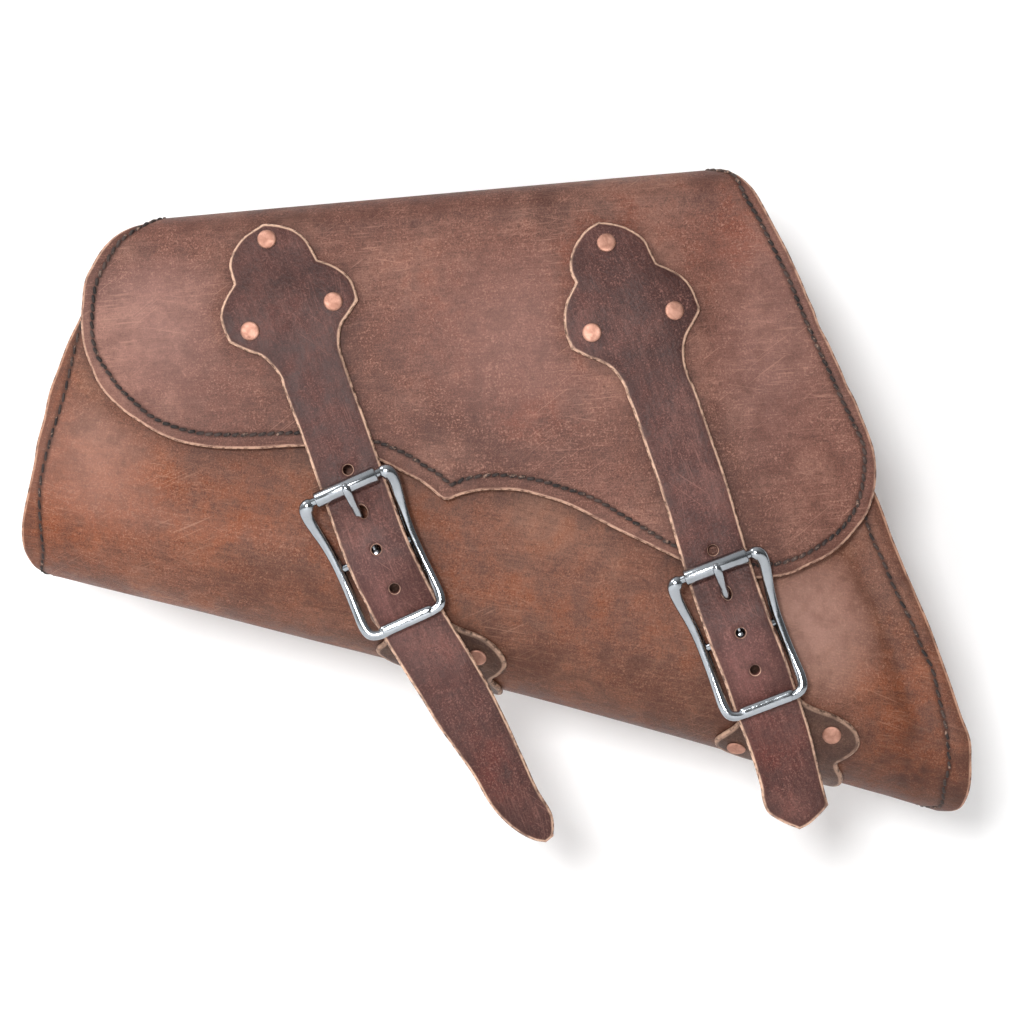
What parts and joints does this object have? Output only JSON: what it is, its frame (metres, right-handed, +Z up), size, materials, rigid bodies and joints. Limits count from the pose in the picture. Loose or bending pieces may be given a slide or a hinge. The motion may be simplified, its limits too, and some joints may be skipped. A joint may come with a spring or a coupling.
{
  "type": "leather motorcycle saddlebag",
  "caption": "Leather solo saddlebag with a scalloped hinged lid, riveted billet straps and roller buckles, for the swing arm of a motorcycle.",
  "frame": {"origin": "on the flat outer face of the back panel, near the middle of the bag", "axes": "+Z up as the bag hangs, +Y out of the back panel towards the motorcycle, front faces -Y, +X to the right seen from the front"},
  "size_m": [0.4416, 0.1183, 0.3119],
  "materials": {
    "body_leather": "distressed, waxed",
    "lid_leather": "distressed, waxed",
    "lining_leather": "suede flesh side",
    "strap_leather": "satin",
    "chape_leather": "satin",
    "nickel": "polished nickel plate",
    "copper": "hammered copper"
  },
  "bodies": {
    "bag": {"back_panel": "body_leather", "front_wrap": "body_leather", "left_chape": "chape_leather", "left_chape_inner_burr": "copper", "left_chape_inner_rivet": "copper", "left_chape_lower_burr": "copper", "left_chape_lower_rivet": "copper", "left_chape_outer_burr": "copper", "left_chape_outer_rivet": "copper", "left_gusset": "body_leather", "right_chape": "chape_leather", "right_chape_inner_burr": "copper", "right_chape_inner_rivet": "copper", "right_chape_lower_burr": "copper", "right_chape_lower_rivet": "copper", "right_chape_outer_burr": "copper", "right_chape_outer_rivet": "copper", "right_gusset": "body_leather"},
    "lid": {"left_strap_tab": "strap_leather", "left_tab_left_burr": "copper", "left_tab_left_rivet": "copper", "left_tab_right_burr": "copper", "left_tab_right_rivet": "copper", "left_tab_upper_burr": "copper", "left_tab_upper_rivet": "copper", "lid_lining": "lining_leather", "lid_panel": "lid_leather", "right_strap_tab": "strap_leather", "right_tab_left_burr": "copper", "right_tab_left_rivet": "copper", "right_tab_right_burr": "copper", "right_tab_right_rivet": "copper", "right_tab_upper_burr": "copper", "right_tab_upper_rivet": "copper"},
    "left_strap": {"left_strap": "strap_leather"},
    "left_buckle": {"left_buckle_frame": "nickel"},
    "left_tongue": {"left_tongue": "nickel"},
    "left_roller": {"left_roller": "nickel"},
    "right_strap": {"right_strap": "strap_leather"},
    "right_buckle": {"right_buckle_frame": "nickel"},
    "right_tongue": {"right_tongue": "nickel"},
    "right_roller": {"right_roller": "nickel"}
  },
  "joints": [
    {"name": "lid_open", "type": "hinge", "parent": "bag", "child": "lid", "pos_m": [-0.03, 0, 0.12464], "axis": [-0.9961, 0, -0.0885], "range_deg": [0, 110]},
    {"name": "left_strap_swing", "type": "hinge", "parent": "lid", "child": "left_strap", "pos_m": [-0.08259, -0.1078, 0.03978], "axis": [-0.9114, 0, -0.4115], "range_deg": [0, 104]},
    {"name": "left_buckle_tilt", "type": "hinge", "parent": "bag", "child": "left_buckle", "pos_m": [-0.0472, -0.105, -0.0386], "axis": [0.9114, 0, 0.4115], "range_deg": [0, 7]},
    {"name": "left_tongue_lift", "type": "hinge", "parent": "left_buckle", "child": "left_tongue", "pos_m": [-0.0472, -0.105, -0.0386], "axis": [0.9114, 0, 0.4115], "range_deg": [0, 60]},
    {"name": "left_roller_spin", "type": "hinge", "parent": "left_buckle", "child": "left_roller", "pos_m": [-0.06099, -0.1117, -0.00807], "axis": [0.9114, 0, 0.4115], "continuous": true},
    {"name": "right_strap_swing", "type": "hinge", "parent": "lid", "child": "right_strap", "pos_m": [0.07687, -0.1078, 0.03611], "axis": [-0.9348, 0, -0.3551], "range_deg": [0, 104]},
    {"name": "right_buckle_tilt", "type": "hinge", "parent": "bag", "child": "right_buckle", "pos_m": [0.1193, -0.105, -0.0756], "axis": [0.9348, 0, 0.3551], "range_deg": [0, 7]},
    {"name": "right_tongue_lift", "type": "hinge", "parent": "right_buckle", "child": "right_tongue", "pos_m": [0.1193, -0.105, -0.0756], "axis": [0.9348, 0, 0.3551], "range_deg": [0, 60]},
    {"name": "right_roller_spin", "type": "hinge", "parent": "right_buckle", "child": "right_roller", "pos_m": [0.1074, -0.1117, -0.04428], "axis": [0.9348, 0, 0.3551], "continuous": true}
  ],
  "couplings": [
    {"joint": "left_buckle_tilt", "follows": "lid_open", "ratio": 0.062727},
    {"joint": "left_tongue_lift", "follows": "lid_open", "ratio": 0.54091},
    {"joint": "right_buckle_tilt", "follows": "lid_open", "ratio": 0.062727},
    {"joint": "right_tongue_lift", "follows": "lid_open", "ratio": 0.54091}
  ]
}
